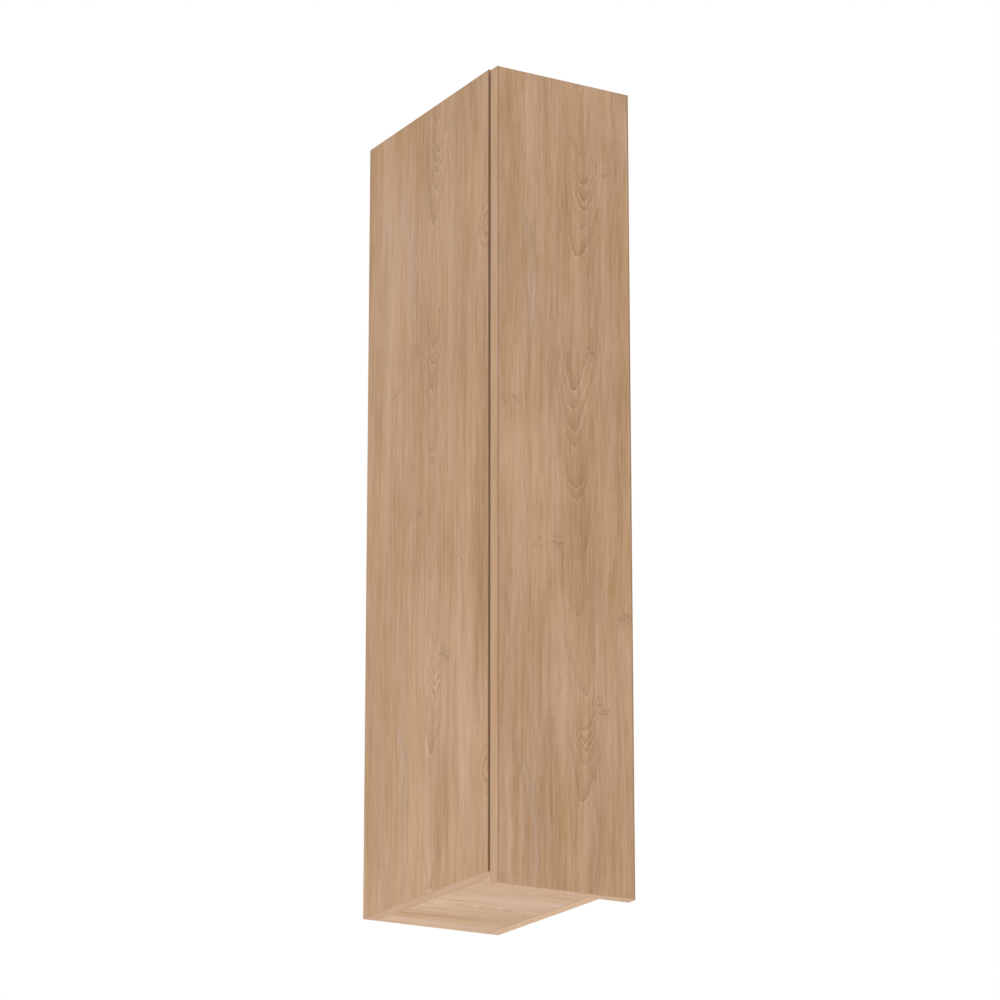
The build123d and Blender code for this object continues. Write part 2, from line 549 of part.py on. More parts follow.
for level, height in HINGE_HEIGHTS.items():
    plan = hinge_plane(height)
    panel_face = Plane(origin=(HALF_INSIDE, -DEPTH, height), x_dir=(0, 1, 0), z_dir=(-1, 0, 0))

    with BuildPart() as mounting_plate:
        with BuildSketch(panel_face):
            with Locations(((PLATE_FRONT + PLATE_REAR) / 2, 0)):
                RectangleRounded(PLATE_REAR - PLATE_FRONT, 2 * PLATE_HALF_BODY, PLATE_ROUND)
        extrude(amount=PLATE_RISE)
        with BuildSketch(panel_face):
            with Locations((PLATE_SCREW_AT, 0)):
                RectangleRounded(PLATE_WING_WIDTH, 2 * PLATE_HALF_HEIGHT, PLATE_WING_ROUND)
        extrude(amount=PLATE_BASE)
        with BuildSketch(panel_face.offset(PLATE_RISE)):
            with Locations(((RIB_FRONT + RIB_REAR) / 2, 0)):
                Rectangle(RIB_REAR - RIB_FRONT, 2 * RIB_HALF_WIDTH)
        extrude(amount=RIB_HEIGHT)
        with Locations(panel_face.offset(PLATE_BASE)):
            with Locations((PLATE_SCREW_AT, 0)):
                with GridLocations(0, PITCH, 1, 2):
                    Hole(PLATE_SCREW_RADIUS, PLATE_BASE)
        with Locations(panel_face.offset(PANEL_FACE - RIB_TOP)):
            with Locations([(at, 0) for at in ARM_SCREWS]):
                Hole(ARM_SCREW_RADIUS + FIT, RIB_HEIGHT)
    mounting_plate.part.label = f"{level}_hinge_mounting_plate"
    export_step(mounting_plate.part, f"parts/{level}_hinge_mounting_plate.step")

    with BuildPart() as hinge_arm:
        with BuildSketch(plan):
            with BuildLine():
                Polyline(
                    (ARM_TOP, HINGE_ARM_PIN[1]),
                    (ARM_TOP, ARM_REAR),
                    (PLATE_SEAT - ARM_PLATE_GAP, ARM_REAR),
                    (PLATE_SEAT - ARM_PLATE_GAP, PLATE_FRONT),
                    (HINGE_ARM_PIN[0] + ARM_NOSE_RADIUS, ARM_NOSE_REAR),
                    (HINGE_ARM_PIN[0] + ARM_NOSE_RADIUS, HINGE_ARM_PIN[1]),
                    close=True,
                )
            make_face()
            with Locations(HINGE_ARM_PIN):
                Circle(ARM_NOSE_RADIUS)
        extrude(amount=EAR_OUTSIDE, both=True)
        # Channel between the ears, open towards the side panel and at the nose
        with BuildSketch(plan):
            with BuildLine():
                Polyline(
                    (ARM_TOP + ARM_WEB, HINGE_ARM_PIN[1] - ARM_NOSE_RADIUS),
                    (ARM_TOP + ARM_WEB, ARM_REAR),
                    (PLATE_SEAT, ARM_REAR),
                    (PLATE_SEAT, HINGE_ARM_PIN[1] - ARM_NOSE_RADIUS),
                    close=True,
                )
            make_face()
        extrude(amount=EAR_INSIDE, both=True, mode=Mode.SUBTRACT)
        with BuildSketch(plan):
            with Locations((ARM_TOP + ARM_NOSE_RADIUS, HINGE_ARM_PIN[1] - ARM_NOSE_RADIUS)):
                Rectangle(2 * ARM_NOSE_RADIUS + ARM_WEB, 2 * ARM_NOSE_RADIUS)
        extrude(amount=EAR_INSIDE, both=True, mode=Mode.SUBTRACT)
        with BuildSketch(plan):
            with Locations(HINGE_ARM_PIN):
                Circle(HINGE_PIN_RADIUS + FIT / 2)
        extrude(amount=EAR_OUTSIDE, both=True, mode=Mode.SUBTRACT)
        # Slot for the side adjusting screw, round hole for the fixing screw
        web = Plane(origin=(DOOR_HALF + ARM_TOP, -DEPTH, height), x_dir=(0, 1, 0), z_dir=(-1, 0, 0))
        with BuildSketch(web):
            with Locations((ARM_SCREWS[0], 0)):
                Circle(ARM_HOLE_RADIUS)
            with Locations((ARM_SCREWS[1], 0)):
                SlotOverall(ARM_SLOT, 2 * ARM_HOLE_RADIUS)
        extrude(amount=-ARM_WEB, mode=Mode.SUBTRACT)
    hinge_arm.part.label = f"{level}_hinge_arm"
    export_step(hinge_arm.part, f"parts/{level}_hinge_arm.step")

    with BuildPart() as hinge_link:
        chord = Vector(*HINGE_ARM_PIN) - Vector(*HINGE_CUP_PIN)
        bulge = Vector(-chord.Y, chord.X).normalized() * LINK_RISE
        middle = (Vector(*HINGE_ARM_PIN) + Vector(*HINGE_CUP_PIN)) * 0.5 + bulge
        with BuildSketch(plan):
            with BuildLine():
                ThreePointArc(HINGE_ARM_PIN, (middle.X, middle.Y), HINGE_CUP_PIN)
            trace(line_width=LINK_THICKNESS)
            with Locations(HINGE_ARM_PIN, HINGE_CUP_PIN):
                Circle(LINK_EYE_RADIUS)
                Circle(HINGE_PIN_RADIUS + RUNNING, mode=Mode.SUBTRACT)
        extrude(amount=LINK_HALF_WIDTH, both=True)
    hinge_link.part.label = f"{level}_hinge_link"
    export_step(hinge_link.part, f"parts/{level}_hinge_link.step")

    cup_mouth = Plane(origin=(DOOR_HALF, DOOR_BACK, height), x_dir=(-1, 0, 0), z_dir=(0, 1, 0))
    with BuildPart() as hinge_cup:
        with BuildSketch(cup_mouth):
            with Locations((-CUP_CENTRE, 0)):
                Circle(FLANGE_RADIUS)
            with Locations((-WING_CENTRE, 0)):
                RectangleRounded(WING_WIDTH, CUP_SCREW_SPACING + WING_WIDTH, WING_ROUND)
        extrude(amount=FLANGE)
        with BuildSketch(cup_mouth):
            with Locations((-CUP_CENTRE, 0)):
                Circle(CUP_RADIUS - FIT)
        extrude(amount=-CUP_DEPTH)
        with BuildSketch(cup_mouth.offset(FLANGE)):
            with Locations((-CUP_CENTRE, 0)):
                Circle(CUP_RADIUS - CUP_WALL)
        extrude(amount=-(FLANGE + CUP_DEPTH - CUP_WALL), mode=Mode.SUBTRACT)
        with Locations(cup_mouth.offset(FLANGE)):
            with Locations((-WING_CENTRE, 0)):
                with GridLocations(0, CUP_SCREW_SPACING, 1, 2):
                    Hole(CUP_SCREW_RADIUS + FIT, FLANGE)
        with BuildSketch(plan):
            with Locations(HINGE_CUP_PIN):
                Circle(HINGE_PIN_RADIUS + FIT / 2)
        extrude(amount=CUP_RADIUS, both=True, mode=Mode.SUBTRACT)
    hinge_cup.part.label = f"{level}_hinge_cup"
    export_step(hinge_cup.part, f"parts/{level}_hinge_cup.step")

ARM_PIN_HALF = EAR_OUTSIDE + 0.4
CUP_PIN_HALF = 12.0
for name, place, half_length in (
    ("hinge_arm_pins", HINGE_ARM_PIN, ARM_PIN_HALF),
    ("hinge_cup_pins", HINGE_CUP_PIN, CUP_PIN_HALF),
):
    with BuildPart() as hinge_pins:
        for height in HINGE_HEIGHTS.values():
            with BuildSketch(hinge_plane(height)):
                with Locations(place):
                    Circle(HINGE_PIN_RADIUS)
            extrude(amount=half_length, both=True)
    hinge_pins.part.label = name
    export_step(hinge_pins.part, f"parts/{name}.step")

PAN_HEAD_RADIUS = 3.5
PAN_HEAD_HEIGHT = 1.5
DRIVE_SIZE = 4.0
DRIVE_SLOT = 0.9
DRIVE_DEPTH = 1.0
ARM_SCREW_LENGTH = PLATE_SEAT - ARM_TOP - 1.0
cup_seats = [Plane(origin=(DOOR_HALF, DOOR_BACK + FLANGE, height), x_dir=(-1, 0, 0), z_dir=(0, 1, 0))
             for height in HINGE_HEIGHTS.values()]
plate_seats = [Plane(origin=(HALF_INSIDE - PLATE_BASE, -DEPTH, height), x_dir=(0, 1, 0), z_dir=(-1, 0, 0))
               for height in HINGE_HEIGHTS.values()]
arm_seats = [Plane(origin=(DOOR_HALF + ARM_TOP, -DEPTH, height), x_dir=(0, 1, 0), z_dir=(-1, 0, 0))
             for height in HINGE_HEIGHTS.values()]
half_pitch = PITCH / 2
half_cup = CUP_SCREW_SPACING / 2
for name, seats, places, head_radius, shank_radius, length in (
    ("hinge_cup_screws", cup_seats, [(-WING_CENTRE, -half_cup), (-WING_CENTRE, half_cup)],
     PAN_HEAD_RADIUS, CUP_SCREW_RADIUS - FIT, CUP_SCREW_LENGTH),
    ("hinge_plate_screws", plate_seats, [(PLATE_SCREW_AT, -half_pitch), (PLATE_SCREW_AT, half_pitch)],
     PLATE_SCREW_HEAD, HOLE_RADIUS - FIT, HOLE_DEPTH),
    ("hinge_arm_screws", arm_seats, [(at, 0) for at in ARM_SCREWS],
     PAN_HEAD_RADIUS, ARM_SCREW_RADIUS, ARM_SCREW_LENGTH),
):
    with BuildPart() as screws:
        for seat in seats:
            with BuildSketch(seat):
                with Locations(places):
                    Circle(head_radius)
            extrude(amount=PAN_HEAD_HEIGHT)
            with BuildSketch(seat):
                with Locations(places):
                    Circle(shank_radius)
            extrude(amount=-length)
            with BuildSketch(seat.offset(PAN_HEAD_HEIGHT)):
                with Locations(places):
                    Rectangle(DRIVE_SIZE, DRIVE_SLOT)
                    Rectangle(DRIVE_SLOT, DRIVE_SIZE)
            extrude(amount=-DRIVE_DEPTH, mode=Mode.SUBTRACT)
    screws.part.label = name
    export_step(screws.part, f"parts/{name}.step")
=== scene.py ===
"""Wall-hung tall cabinet with one door: finishes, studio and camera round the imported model.

Lengths are metres. Every CAD object sits at the origin, so its object coordinates are
places in the cabinet's own frame: X across, Y towards the wall, Z up.
"""
import math

import bmesh
import bpy
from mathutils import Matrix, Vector


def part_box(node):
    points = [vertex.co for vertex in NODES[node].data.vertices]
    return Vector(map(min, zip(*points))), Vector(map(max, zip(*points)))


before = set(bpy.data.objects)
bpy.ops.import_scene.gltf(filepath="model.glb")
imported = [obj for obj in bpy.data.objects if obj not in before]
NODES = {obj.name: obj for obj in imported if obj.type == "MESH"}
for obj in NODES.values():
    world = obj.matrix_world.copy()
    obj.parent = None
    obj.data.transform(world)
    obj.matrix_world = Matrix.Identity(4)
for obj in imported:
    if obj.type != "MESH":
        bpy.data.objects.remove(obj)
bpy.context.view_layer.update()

# ------------------------------------------------------------------ camera and studio
CAMERA_PLACE = (-2.736, -4.915, -1.195)
CAMERA_TILT = 107.487
CAMERA_TURN = -30.002
CAMERA_LENS = 160.0
SENSOR_WIDTH = 36.0
FAR_CLIP = 100.0
FLOOR_LEVEL = -1.45
FLOOR_RADIUS = 30.0
WHITE = (1.0, 1.0, 1.0)
SKY_STRENGTH = 1.0
# name: (X, Y, height above the floor, size, watts); both lamps shine straight up
LAMPS = {
    "light_below": (-0.2, -0.1, 0.05, 1.5, 6.6),
    "light_low_left": (-0.9, -0.1, 0.55, 1.2, 3.6),
}

# ------------------------------------------------------------------ printed oak decor
OAK_OCHRE = (0.500, 0.302, 0.161)
OAK_ROSE = (0.488, 0.304, 0.184)
OAK_GREY = (0.375, 0.255, 0.170)
OAK_BROWN = (0.320, 0.180, 0.082)
OAK_PALE = (0.580, 0.400, 0.280)
OAK_ASH = (0.450, 0.340, 0.260)
KNOT_BROWN = (0.20, 0.12, 0.07)
DARK_TONE = (0.80, 1.08, 1.78)       # how much each channel follows the grain: darker is also browner
SIDE_TINT = (0.970, 0.935, 0.875)
DOOR_TINT = (1.02, 1.005, 0.985)
# bottom panel lighter and cooler: partly its own tone, partly painted light from below on its underside
BOTTOM_TINT = (1.04, 1.075, 1.115)
BAND_TINT = (1.00, 0.98, 0.96)
LEFT_STRIP_TINT = (0.90, 0.84, 0.77)    # upper and lower edges of the side panels: one band with painted shade on the left and painted light on the right
RIGHT_STRIP_TINT = (1.14, 1.155, 1.17)
DOOR_BAND_TINT = (1.015, 0.98, 0.945)
GAP_SHADE_EDGE = (0.0972, 0.0984)       # painted shade: the front faces darken between these distances from the middle, for the shadow in the gap behind the door
# how much painted shade darkens the outer edge of the front faces
GAP_SHADE_SHARE = 0.40

# The printing cylinder repeats after PERIOD. Places on it are (across, along) from the middle of the
# arches; curves run over one period as (share of the period, value).
PERIOD = 0.716
# Arches of a tangential cut: (height of the tip, length of the brown shade above it, strength)
ARCHES = (
    (0.099, 0.030, 0.85), (0.141, 0.012, 0.50), (0.164, 0.010, 0.80),
    (0.178, 0.008, 0.80), (0.192, 0.012, 0.75), (0.234, 0.030, 0.45),
    (0.330, 0.040, 0.40), (0.410, 0.030, 0.35), (0.485, 0.020, 0.60),
    (0.504, 0.028, 0.75), (0.556, 0.016, 0.50), (0.579, 0.022, 0.85),
    (0.610, 0.018, 0.80), (0.622, 0.010, 0.55), (0.640, 0.024, 0.85),
)
ARCH_WIDTH = 0.0205
ARCH_RISE = 0.050
ARCH_POWER = 1.9
ARCH_SWING = 0.020
ARCH_SHIFT = -0.75 * ARCH_SWING
ARCH_CURVE = (
    (0.0, 0.30), (0.14, 0.45), (0.26, 0.80), (0.46, 0.25),
    (0.68, 0.30), (0.80, 0.15), (0.90, 0.30), (1.0, 0.30),
)
TIP_LINE = 0.0022                    # half the thickness of the dark line at a tip
TIP_LIP = 0.0060                     # height of the pale lip under it
TIP_SHARPNESS = 0.001
TIP_LINE_PLACE = 0.0012
TIP_LINE_SHARE = 0.50
ARCH_SHADE_SHARE = 0.62
# Noise that moves the arches: (cell across and along the grain, how far)
ARCH_JAG = ((0.005, 0.030), 0.020)
ARCH_BEND = ((0.030, 0.080), 0.050)
ARCH_NEAR = (0.014, 0.040)           # the arches weaken between these distances from their middle
ARCH_FAR_SHARE = 0.25
# One long narrow eye at the side of the arches
EYE_PLACE = (0.133, 0.049)
EYE_WIDTH = 0.0080
EYE_HEIGHT = 0.012
EYE_RINGS = 1.6                      # half turns of the ring wave in one eye width
EYE_FADE = (0.5, 4.2, 0.9, 0.0)      # from, to, strength at each
# Grey vein
VEIN_CURVE = ((0.0, 0.10), (0.06, 0.0), (0.13, 0.12), (0.21, 0.85), (0.25, 1.0), (0.60, 0.5), (1.0, 0.10))
VEIN_STRENGTH = ((0.0, 0.50), (0.05, 0.85), (0.14, 1.0), (0.20, 0.8), (0.26, 0.0), (0.90, 0.0), (1.0, 0.50))
VEIN_PLACE = -0.074
VEIN_SWING = 0.026
VEIN_WIDTH = 0.0034
VEIN_WOBBLE_LENGTH = 0.045
VEIN_WOBBLE = 0.008
VEIN_FRAY_CELL = (0.002, 0.020)
VEIN_FRAY = 0.006
VEIN_BODY = (-1.2, 1.6)              # middle and half width, in vein widths
VEIN_EDGE = (0.6, 0.9)
# Small knots
KNOTS = ((0.031, 0.218), (0.020, 0.226), (0.011, 0.687), (-0.115, 0.602), (-0.098, 0.607),
         (-0.065, 0.422), (-0.040, 0.426), (0.061, 0.340))
KNOT_WIDTH = 0.009
KNOT_HEIGHT = 0.008
KNOT_REACH = 2.5                     # squared distance, in knot sizes, where a knot has faded out
KNOT_PUSH = 0.010                    # how far a knot moves the arches along the grain
SQUIGGLE_CELL = (0.011, 0.007)
# How much of each colour the figure lays over the ground
BROWN_SHARE = 0.80
PALE_SHARE = 0.65
VEIN_SHARE = 0.42
VEIN_EDGE_SHARE = 0.50
KNOT_SHARE = 0.48
# Fibre streaks: (width across the grain, length along it, strength)
STREAKS = (
    (0.0013, 0.030, 0.40),
    (0.0026, 0.070, 0.40),
    (0.0052, 0.130, 0.29),
    (0.0095, 0.220, 0.26),
    (0.0190, 0.420, 0.20),
    (0.0240, 0.110, 0.19),
    (0.0380, 0.600, 0.24),
    (0.0800, 0.300, 0.46),
)
PALE_FIBRE = (0.0012, 0.090)
PORE_SIZE = (0.0007, 0.008)
SPARSE = (0.60, 0.72)                # a noise between these shows only its few highest places
HUE_CELL = (0.030, 0.30)
GREY_CELL = (0.020, 0.22)
GREY_SHARE = 0.20
SWAY_CELL = (0.09, 0.26)
SWAY = 0.010
LAYERS = 9.0                         # how fast the streaks change through a board's thickness
DECOR_RELIEF = 0.00006
BAND_RELIEF = 0.00005
BAND_HUE_CELL = (0.008, 0.18)
SEAM = (0.0005, 0.0019)              # a joint line fades between these distances from a board's edge
SEAM_DARK = -0.42
SWEEP = 1.0                          # farther than any edge of the cabinet


class Graph:
    """Short calls for the nodes of one material. A value is a number or a node's output."""

    def __init__(self, name):
        self.material = bpy.data.materials.new(name)
        self.material.use_nodes = True
        self.tree = self.material.node_tree
        self.tree.nodes.clear()
        self.shader = self.node("ShaderNodeBsdfPrincipled")
        output = self.node("ShaderNodeOutputMaterial")
        self.tree.links.new(self.shader.outputs[0], output.inputs["Surface"])
        place = self.node("ShaderNodeTexCoord")
        self.place = place.outputs["Object"]
        self.x, self.y, self.z = self.split(self.place)
        self.facing = dict(zip("xyz", self.split(place.outputs["Normal"])))

    def node(self, kind, **settings):
        made = self.tree.nodes.new(kind)
        for key, value in settings.items():
            setattr(made, key, value)
        return made

    def feed(self, socket, value):
        if isinstance(value, bpy.types.NodeSocket):
            self.tree.links.new(value, socket)
        elif socket.type == "RGBA":
            socket.default_value = (*value, 1.0)
        else:
            socket.default_value = value

    def split(self, vector):
        made = self.node("ShaderNodeSeparateXYZ")
        self.feed(made.inputs[0], vector)
        return tuple(made.outputs)

    def join(self, x, y, z):
        made = self.node("ShaderNodeCombineXYZ")
        for socket, value in zip(made.inputs, (x, y, z)):
            self.feed(socket, value)
        return made.outputs[0]

    def math(self, operation, *values):
        made = self.node("ShaderNodeMath", operation=operation)
        for socket, value in zip(made.inputs, values):
            self.feed(socket, value)
        return made.outputs[0]

    def vector_math(self, operation, *values):
        made = self.node("ShaderNodeVectorMath", operation=operation)
        for socket, value in zip(made.inputs, values):
            self.feed(socket, value)
        return made.outputs[0]

    def add(self, first, second):
        return self.math("ADD", first, second)

    def minus(self, first, second):
        return self.math("SUBTRACT", first, second)

    def times(self, first, second):
        return self.math("MULTIPLY", first, second)

    def over(self, first, second):
        return self.math("DIVIDE", first, second)

    def times_add(self, first, second, third):
        return self.math("MULTIPLY_ADD", first, second, third)

    def power(self, value, exponent):
        return self.math("POWER", value, exponent)

    def size(self, value):
        return self.math("ABSOLUTE", value)

    def noise(self, vector, detail=0.0, roughness=0.5):
        made = self.node("ShaderNodeTexNoise")
        self.feed(made.inputs["Vector"], vector)
        made.inputs["Scale"].default_value = 1.0
        made.inputs["Detail"].default_value = detail
        made.inputs["Roughness"].default_value = roughness
        return made.outputs["Fac"]

    def grain_noise(self, place, cell, seed, detail=0.0):
        """Noise in cells of this width across the grain and this length along it."""
        across, along = place
        width, length = cell
        return self.noise(self.join(self.over(across, width), self.over(along, length), seed), detail)

    def solid_noise(self, cell, detail=0.0, roughness=0.5):
        """Noise through the whole object in cells of this size."""
        return self.noise(self.cell_place(cell), detail, roughness)

    def cell_place(self, cell):
        return self.vector_math("DIVIDE", self.place, cell)

    def ramp(self, value, low, high, to_low=0.0, to_high=1.0, kind="SMOOTHSTEP"):
        made = self.node("ShaderNodeMapRange", interpolation_type=kind)
        for name, number in (("From Min", low), ("From Max", high), ("To Min", to_low), ("To Max", to_high)):
            made.inputs[name].default_value = number
        self.feed(made.inputs["Value"], value)
        return made.outputs["Result"]

    def peak(self, value, middle, half, height=1.0):
        """height where the value is at the middle, down to 0 at half its width away."""
        return self.ramp(self.size(self.minus(value, middle)), 0.0, half, height, 0.0)

    def spread(self, noise, low, high):
        """Middle part of a noise stretched from low to high."""
        return self.ramp(noise, 0.3, 0.7, low, high)

    def mix(self, factor, first, second):
        made = self.node("ShaderNodeMix", data_type="RGBA")
        for socket, value in zip((made.inputs[0], made.inputs[6], made.inputs[7]), (factor, first, second)):
            self.feed(socket, value)
        return made.outputs[2]

    def blend(self, noise, first, second):
        return self.mix(self.ramp(noise, 0.3, 0.7), first, second)

    def shade(self, colour, factor):
        """A colour made lighter or darker by a number that varies over the surface."""
        made = self.node("ShaderNodeVectorMath", operation="SCALE")
        self.feed(made.inputs[0], colour)
        self.feed(made.inputs["Scale"], factor)
        return made.outputs[0]

    def tone(self, colour, change):
        """A colour made lighter or darker by a share, where darker is also more saturated."""
        factors = self.vector_math("MULTIPLY_ADD", change, DARK_TONE, WHITE)
        return self.vector_math("MULTIPLY", colour, factors)

    def curve(self, value, points):
        made = self.node("ShaderNodeFloatCurve")
        line = made.mapping.curves[0]
        for _ in points[2:]:
            line.points.new(0.5, 0.5)
        for point, place in zip(line.points, points):
            point.location = place
        made.mapping.update()
        self.feed(made.inputs["Value"], value)
        return made.outputs[0]

    def bump(self, height, distance):
        made = self.node("ShaderNodeBump")
        made.inputs["Distance"].default_value = distance
        self.feed(made.inputs["Height"], height)
        self.tree.links.new(made.outputs[0], self.shader.inputs["Normal"])

    def finish(self, colour, roughness, **constants):
        self.feed(self.shader.inputs["Base Color"], colour)
        self.feed(self.shader.inputs["Roughness"], roughness)
        for name, value in constants.items():
            self.shader.inputs[name.replace("_", " ")].default_value = value
        return self.material


# ------------------------------------------------------------------ oak
def in_period(g, along):
    """Share of the decor's period, 0 to 1."""
    return g.math("FRACT", g.over(along, PERIOD))


def from_place(g, along, place):
    """Distance along the grain from the nearest repeat of a place."""
    return g.math("WRAP", g.minus(along, place), PERIOD / 2, -PERIOD / 2)


def streaks(g, place, depth, seed):
    """Sum of fibre streaks of many sizes, about 0."""
    total = 0.0
    for number, (width, length, strength) in enumerate(STREAKS):
        layer = g.grain_noise(place, (width, length), g.add(depth, seed + 7.3 * number), detail=1.0)
        total = g.times_add(g.minus(layer, 0.5), strength, total)
    return total


def pores(g, place, seed):
    """1 in the short open pores of the wood, 0 between them."""
    return g.ramp(g.grain_noise(place, PORE_SIZE, seed, detail=1.0), *SPARSE)


def arches(g, place, knots, seed):
    """Nested arches of a tangential cut that point down: brown above each line, pale just below it."""
    across, along = place
    middle = g.times_add(g.curve(in_period(g, along), ARCH_CURVE), ARCH_SWING, ARCH_SHIFT)
    aside = g.size(g.minus(across, middle))
    rise = g.times(g.power(g.over(aside, ARCH_WIDTH), ARCH_POWER), ARCH_RISE)
    jag_cell, jag_reach = ARCH_JAG
    bend_cell, bend_reach = ARCH_BEND
    jag = g.grain_noise(place, jag_cell, seed, detail=2.0)
    bend = g.grain_noise(place, bend_cell, seed + 4.0, detail=1.0)
    level = g.times_add(g.minus(bend, 0.5), bend_reach, g.minus(along, rise))
    level = g.times_add(g.minus(jag, 0.5), jag_reach, level)
    level = g.times(in_period(g, g.times_add(knots, KNOT_PUSH, level)), PERIOD)
    brown, pale = 0.0, 0.0
    for tip, fade, strength in ARCHES:
        above = g.minus(level, tip)
        started = g.ramp(above, -TIP_SHARPNESS, TIP_SHARPNESS)
        shade = g.times(started, g.ramp(above, 0.0, fade, strength, 0.0, "LINEAR"))
        line = g.times(g.peak(above, TIP_LINE_PLACE, TIP_LINE, strength), TIP_LINE_SHARE)
        brown = g.math("MAXIMUM", brown, g.times_add(shade, ARCH_SHADE_SHARE, line))
        lip = g.times(g.ramp(above, -TIP_LIP, -TIP_SHARPNESS), g.minus(1.0, started))
        pale = g.times_add(lip, strength, pale)
    near = g.ramp(aside, *ARCH_NEAR, 1.0, ARCH_FAR_SHARE)
    return g.times(brown, near), g.times(pale, near)


def eye(g, place):
    """Lines of one long narrow eye that repeats with the decor."""
    across, along = place
    above = g.over(from_place(g, along, EYE_PLACE[1]), EYE_HEIGHT)
    aside = g.over(g.minus(across, EYE_PLACE[0]), EYE_WIDTH)
    far = g.power(g.add(g.times(aside, aside), g.times(above, above)), 0.5)
    wave = g.times_add(g.math("COSINE", g.times(far, EYE_RINGS * math.pi)), 0.5, 0.5)
    return g.times(g.power(wave, 2.0), g.ramp(far, *EYE_FADE))


def veins(g, place, seed):
    """A grey vein, pale with one dark edge, that swings across the grain once in each period."""
    across, along = place
    share = in_period(g, along)
    wobble = g.noise(g.join(0.0, g.over(along, VEIN_WOBBLE_LENGTH), seed + 2.0), detail=1.0)
    fray = g.grain_noise(place, VEIN_FRAY_CELL, seed + 6.0, detail=1.0)
    middle = g.times_add(wobble, VEIN_WOBBLE, g.times_add(fray, VEIN_FRAY, VEIN_PLACE - VEIN_FRAY / 2))
    middle = g.times_add(g.curve(share, VEIN_CURVE), -VEIN_SWING, middle)
    aside = g.over(g.minus(across, middle), VEIN_WIDTH)
    strength = g.curve(share, VEIN_STRENGTH)
    return g.times(g.peak(aside, *VEIN_BODY), strength), g.times(g.peak(aside, *VEIN_EDGE), strength)


def knot_field(g, place):
    """1 at the middle of a small knot, fading out round it."""
    across, along = place
    total = 0.0
    for knot_across, knot_along in KNOTS:
        aside = g.over(g.minus(across, knot_across), KNOT_WIDTH)
        above = g.over(from_place(g, along, knot_along), KNOT_HEIGHT)
        far = g.add(g.times(aside, aside), g.times(above, above))
        total = g.math("MAXIMUM", total, g.ramp(far, 0.0, KNOT_REACH, 1.0, 0.0))
    return total


def ground_colour(g, place, seed):
    """Slow changes of hue under the grain."""
    hue = g.grain_noise(place, HUE_CELL, seed + 11.0, detail=2.0)
    colour = g.mix(g.ramp(hue, 0.32, 0.68), OAK_OCHRE, OAK_ROSE)
    cloud = g.grain_noise(place, GREY_CELL, seed + 17.0, detail=1.0)
    return g.mix(g.times(g.ramp(cloud, 0.58, 0.78), GREY_SHARE), colour, OAK_GREY)


def figure(g, colour, place, seed):
    """The arches, the eye, the vein and the knots drawn over the ground colour."""
    knots = knot_field(g, place)
    brown, pale = arches(g, place, knots, seed)
    brown = g.math("MAXIMUM", brown, eye(g, place))
    vein, vein_edge = veins(g, place, seed)
    squiggle = g.peak(g.grain_noise(place, SQUIGGLE_CELL, seed + 23.0, detail=1.0), 0.5, 0.05)
    colour = g.mix(g.times(brown, BROWN_SHARE), colour, OAK_BROWN)
    colour = g.mix(g.times(pale, PALE_SHARE), colour, OAK_PALE)
    colour = g.mix(g.times(vein, VEIN_SHARE), colour, OAK_ASH)
    colour = g.mix(g.times(vein_edge, VEIN_EDGE_SHARE), colour, OAK_GREY)
    return g.mix(g.times(g.times(knots, squiggle), KNOT_SHARE), colour, KNOT_BROWN)


def oak(g, across, along, depth, seed):
    """Colour and height of the printed and embossed oak decor."""
    sway = g.grain_noise((across, along), SWAY_CELL, seed + 3.1)
    place = (g.times_add(g.minus(sway, 0.5), SWAY, across), along)
    fibre = g.ramp(g.grain_noise(place, PALE_FIBRE, seed + 29.0, detail=1.0), *SPARSE)
    grain = g.times_add(fibre, 0.08, streaks(g, place, depth, seed))
    pits = pores(g, place, seed)
    colour = figure(g, ground_colour(g, place, seed), place, seed)
    return g.tone(colour, g.times_add(pits, -0.10, grain)), g.minus(grain, pits)


def chipboard(g):
    """Colour of the raw particle board inside a panel."""
    flakes = g.node("ShaderNodeTexVoronoi")
    flakes.inputs["Scale"].default_value = 1.0
    g.feed(flakes.inputs["Vector"], g.cell_place((0.0022, 0.0022, 0.0009)))
    flake = g.split(flakes.outputs["Color"])[0]
    dust = g.solid_noise((0.0009, 0.0009, 0.0009), detail=2.0)
    colour = g.mix(flake, (0.42, 0.27, 0.14), (0.62, 0.45, 0.28))
    return g.shade(colour, g.spread(dust, 0.75, 1.12))


def joint_lines(g, places, seams):
    """1 in the shadow of the joints at a board's edges; a seam is (axis, low edge, high edge)."""
    line = 0.0
    for axis, low, high in seams:
        edge = g.math("MINIMUM", g.minus(places[axis], low), g.minus(high, places[axis]))
        line = g.math("MAXIMUM", line, g.ramp(edge, *SEAM, 1.0, 0.0))
    return line


def panel_material(name, axes, shift, seed, tint, seams=()):
    """A board with oak decor on its two faces and raw particle board elsewhere."""
    g = Graph(name)
    places = {"x": g.x, "y": g.y, "z": g.z, "-y": g.times(g.y, -1.0)}
    across, along, face = axes
    u, v = (g.add(places[axis], offset) for axis, offset in zip((across, along), shift))
    decor, height = oak(g, u, v, g.times(places[face], LAYERS), seed)
    decor = g.shade(decor, g.times_add(joint_lines(g, places, seams), SEAM_DARK, 1.0))
    on_face = g.ramp(g.size(g.facing[face]), 0.4, 0.6)
    colour = g.mix(on_face, chipboard(g), g.vector_math("MULTIPLY", decor, tint))
    g.bump(g.times(height, on_face), DECOR_RELIEF)
    gloss = g.ramp(height, -1.0, 0.3, 0.62, 0.50)
    rough = g.times_add(on_face, g.minus(gloss, 0.85), 0.85)
    return g.finish(colour, rough, Specular_IOR_Level=0.35)


